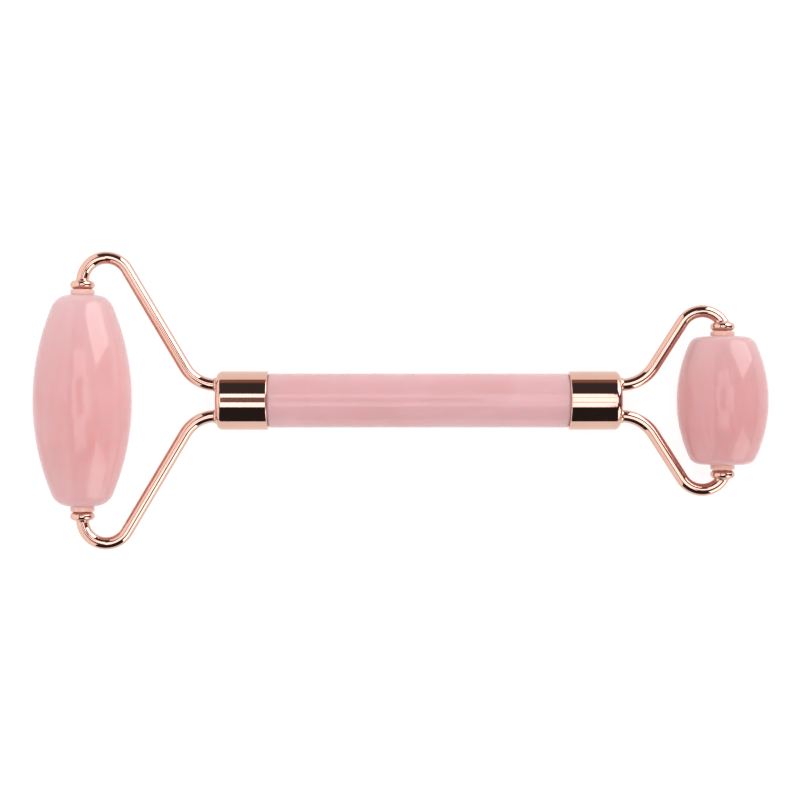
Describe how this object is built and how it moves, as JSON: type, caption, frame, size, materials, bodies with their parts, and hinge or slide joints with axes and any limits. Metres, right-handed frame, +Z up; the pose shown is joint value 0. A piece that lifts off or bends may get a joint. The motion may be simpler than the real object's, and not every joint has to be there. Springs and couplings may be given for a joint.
{
  "type": "face roller",
  "caption": "Two-ended facial massage roller: crowned stone rollers turn freely in bent-wire yokes at both ends of a round stone handle.",
  "frame": {"origin": "on the surface that the roller lies on, under the middle of its overall length", "axes": "+X along the handle towards the small roller, within 0.32 degrees, because both rollers touch the surface; +Y along the rollers' axes; +Z up"},
  "size_m": [0.1448, 0.0588, 0.0193],
  "materials": {
    "pink_stone": "polished, milky and slightly translucent",
    "rose_gold": "mirror-polished rose-gold plating",
    "clear_nylon": "milky translucent nylon",
    "cured_adhesive": "cast resin, hidden"
  },
  "bodies": {
    "frame": {"handle_rod": "pink_stone", "large_ferrule": "rose_gold", "small_ferrule": "rose_gold", "large_adhesive": "cured_adhesive", "small_adhesive": "cured_adhesive", "large_upper_arm": "rose_gold", "large_lower_arm": "rose_gold", "small_upper_arm": "rose_gold", "small_lower_arm": "rose_gold", "large_upper_axle_pin": "rose_gold", "large_lower_axle_pin": "rose_gold", "small_upper_axle_pin": "rose_gold", "small_lower_axle_pin": "rose_gold"},
    "large_roller": {"large_roller_stone": "pink_stone", "large_upper_bush": "clear_nylon", "large_lower_bush": "clear_nylon"},
    "small_roller": {"small_roller_stone": "pink_stone", "small_upper_bush": "clear_nylon", "small_lower_bush": "clear_nylon"}
  },
  "joints": [
    {"name": "large_roller_spin", "type": "hinge", "parent": "frame", "child": "large_roller", "pos_m": [-0.0628, 0, 0.00965], "axis": [0, 1, 0], "continuous": true},
    {"name": "small_roller_spin", "type": "hinge", "parent": "frame", "child": "small_roller", "pos_m": [0.0635, 0, 0.00895], "axis": [0, 1, 0], "continuous": true}
  ]
}
